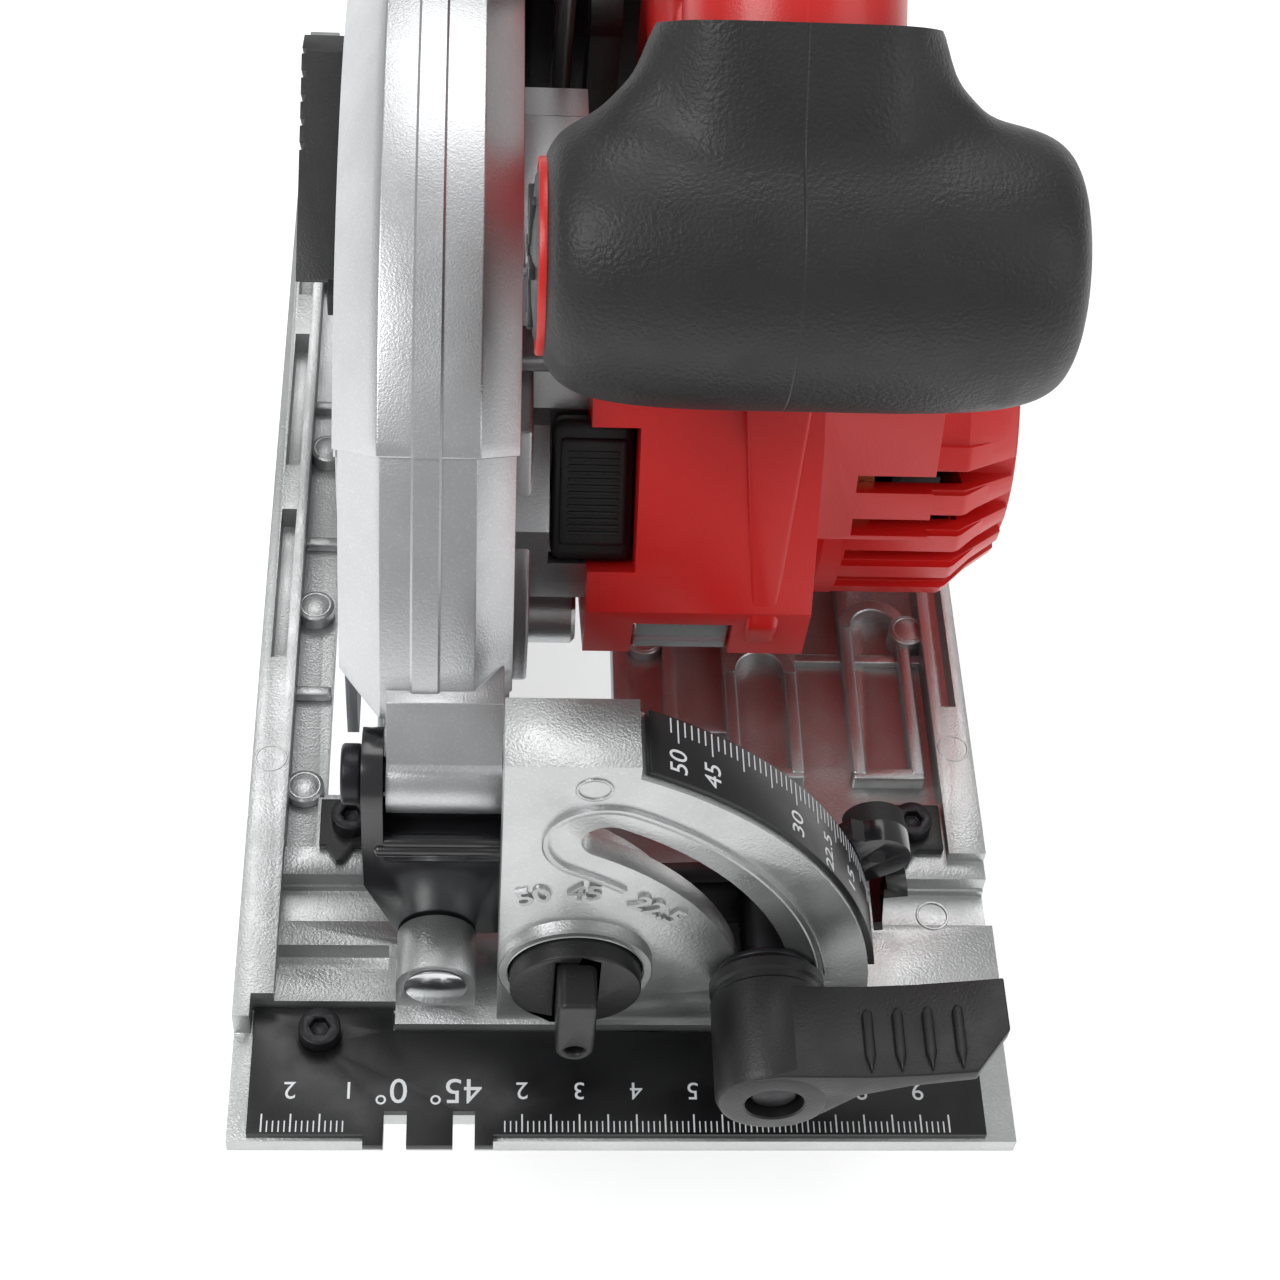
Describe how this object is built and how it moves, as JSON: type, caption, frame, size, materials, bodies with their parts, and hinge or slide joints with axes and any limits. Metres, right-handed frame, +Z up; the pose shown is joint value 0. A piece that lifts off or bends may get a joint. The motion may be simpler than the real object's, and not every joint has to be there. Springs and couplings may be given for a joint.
{
  "type": "circular saw",
  "caption": "Battery circular saw: tilting ribbed shoe, silver blade guard, red side-mounted motor housing, black front handle, bevel lock lever and depth-setting pivot.",
  "frame": {"origin": "on the underside of the shoe, on the square cut line, 20 mm behind the shoe's front edge", "axes": "+X towards the motor, +Y from the front of the saw to its rear, +Z up from the sole"},
  "size_m": [0.139, 0.3255, 0.2578],
  "materials": {
    "cast_silver": "sparkling silver lacquer on die-cast alloy, satin",
    "cast_shoe": "matt silver lacquer on die-cast alloy",
    "steel_bright": "turned and plated steel",
    "steel_dark": "blackened steel, low gloss",
    "steel_black_gloss": "glossy black coated steel",
    "blade_steel": "ground tool steel",
    "scale_black": "satin black plate with pale divisions",
    "plastic_black": "fine-textured moulded nylon",
    "plastic_red": "fine-textured moulded nylon, satin",
    "overmould_black": "soft overmoulded elastomer, matt grain",
    "lens_clear": "clear moulded lens",
    "board_green": "coated circuit board",
    "copper_winding": "enamelled copper wire on laminated steel",
    "rubber_bumper": "moulded rubber"
  },
  "bodies": {
    "shoe": {"shoe": "cast_shoe", "front_scale": "scale_black", "bevel_scale": "scale_black", "shoe_screws": "steel_dark", "fence_pointers": "plastic_black", "front_bevel_pin": "steel_bright", "rear_bevel_pin": "steel_bright"},
    "stop_dial": {"stop_dial": "plastic_black"},
    "stop_pusher": {"stop_pusher": "plastic_black"},
    "tilt_carriage": {"tilt_bracket": "steel_black_gloss", "bevel_bolt": "steel_bright", "bevel_pointer": "plastic_black", "pivot_bolt": "steel_dark", "depth_arc": "steel_black_gloss"},
    "bevel_lever": {"bevel_lever": "plastic_black", "lever_washer": "steel_dark"},
    "head": {"upper_guard": "cast_silver", "gear_case": "cast_silver", "motor_housing": "plastic_red", "handle_shell": "plastic_red", "handle_overmould": "overmould_black", "grip_end_cap": "plastic_red", "rear_overmould": "overmould_black", "led_lens": "lens_clear", "led_board": "board_green", "stator": "copper_winding", "motor_bearings": "steel_bright", "spindle_bearings": "steel_bright", "switch_body": "plastic_black", "control_board": "board_green", "terminal_block": "plastic_black", "housing_screws": "steel_dark", "guard_screws": "steel_dark", "guard_spring": "steel_bright", "guard_bumper": "rubber_bumper", "depth_bolt": "steel_bright", "battery_base": "plastic_black", "lock_spring": "steel_bright"},
    "blade_set": {"blade": "blade_steel", "arbor": "steel_bright", "inner_flange": "steel_bright", "outer_flange": "steel_dark", "blade_bolt": "steel_dark", "reduction_gear": "steel_bright"},
    "rotor": {"motor_shaft": "steel_bright", "rotor_core": "steel_bright", "fan": "plastic_black"},
    "lower_guard": {"lower_guard": "cast_silver", "guard_lever": "plastic_black"},
    "lock_button": {"lock_button": "plastic_black"},
    "trigger": {"trigger": "plastic_black"},
    "lock_off": {"lock_off_button": "plastic_black"},
    "depth_lever": {"depth_lever": "plastic_black"},
    "battery": {"battery_pack": "plastic_black"},
    "latch_left": {"battery_latch_left": "plastic_red"},
    "latch_right": {"battery_latch_right": "plastic_red"}
  },
  "joints": [
    {"name": "bevel_tilt", "type": "hinge", "parent": "shoe", "child": "tilt_carriage", "pos_m": [0.0046, 0, 0.014], "axis": [0, -1, 0], "range_deg": [0, 50]},
    {"name": "stop_dial_turn", "type": "hinge", "parent": "shoe", "child": "stop_dial", "pos_m": [0.0285, 0, 0.028], "axis": [0, -1, 0], "range_deg": [0, 90]},
    {"name": "stop_pusher_press", "type": "slide", "parent": "stop_dial", "child": "stop_pusher", "axis": [0, 1, 0], "range_m": [0, 0.0018], "stiffness_N_per_m": 1500},
    {"name": "bevel_lever_turn", "type": "hinge", "parent": "tilt_carriage", "child": "bevel_lever", "pos_m": [0.06165, 0, 0.02447], "axis": [0, -1, 0], "range_deg": [0, 45]},
    {"name": "depth_swing", "type": "hinge", "parent": "tilt_carriage", "child": "head", "pos_m": [0, 0.025, 0.05], "axis": [1, 0, 0], "range_deg": [0, 36]},
    {"name": "blade_spin", "type": "hinge", "parent": "head", "child": "blade_set", "pos_m": [0, 0.128, 0.029], "axis": [1, 0, 0], "continuous": true},
    {"name": "rotor_spin", "type": "hinge", "parent": "head", "child": "rotor", "pos_m": [0, 0.11045, 0.05333], "axis": [1, 0, 0], "continuous": true},
    {"name": "lower_guard_swing", "type": "hinge", "parent": "head", "child": "lower_guard", "pos_m": [0, 0.128, 0.029], "axis": [1, 0, 0], "range_deg": [0, 125], "stiffness_Nm_per_rad": 0.12, "springref_deg": -68.75},
    {"name": "spindle_lock_press", "type": "slide", "parent": "head", "child": "lock_button", "axis": [0, 0.809, -0.5878], "range_m": [0, 0.0022], "stiffness_N_per_m": 1200},
    {"name": "trigger_press", "type": "slide", "parent": "head", "child": "trigger", "axis": [0, 0, 1], "range_m": [0, 0.005], "stiffness_N_per_m": 900},
    {"name": "lock_off_press", "type": "slide", "parent": "head", "child": "lock_off", "axis": [1, 0, 0], "range_m": [0, 0.0025], "stiffness_N_per_m": 900},
    {"name": "depth_lever_turn", "type": "hinge", "parent": "head", "child": "depth_lever", "pos_m": [0, 0.17443, 0.06307], "axis": [1, 0, 0], "range_deg": [-20, 15]},
    {"name": "battery_slide", "type": "slide", "parent": "head", "child": "battery", "axis": [0, 1, 0], "range_m": [0, 0.06]},
    {"name": "latch_left_press", "type": "slide", "parent": "battery", "child": "latch_left", "axis": [1, 0, 0], "range_m": [0, 0.002], "stiffness_N_per_m": 1500},
    {"name": "latch_right_press", "type": "slide", "parent": "battery", "child": "latch_right", "axis": [-1, 0, 0], "range_m": [0, 0.002], "stiffness_N_per_m": 1500}
  ],
  "couplings": [
    {"joint": "rotor_spin", "follows": "blade_spin", "ratio": -3.3636}
  ]
}
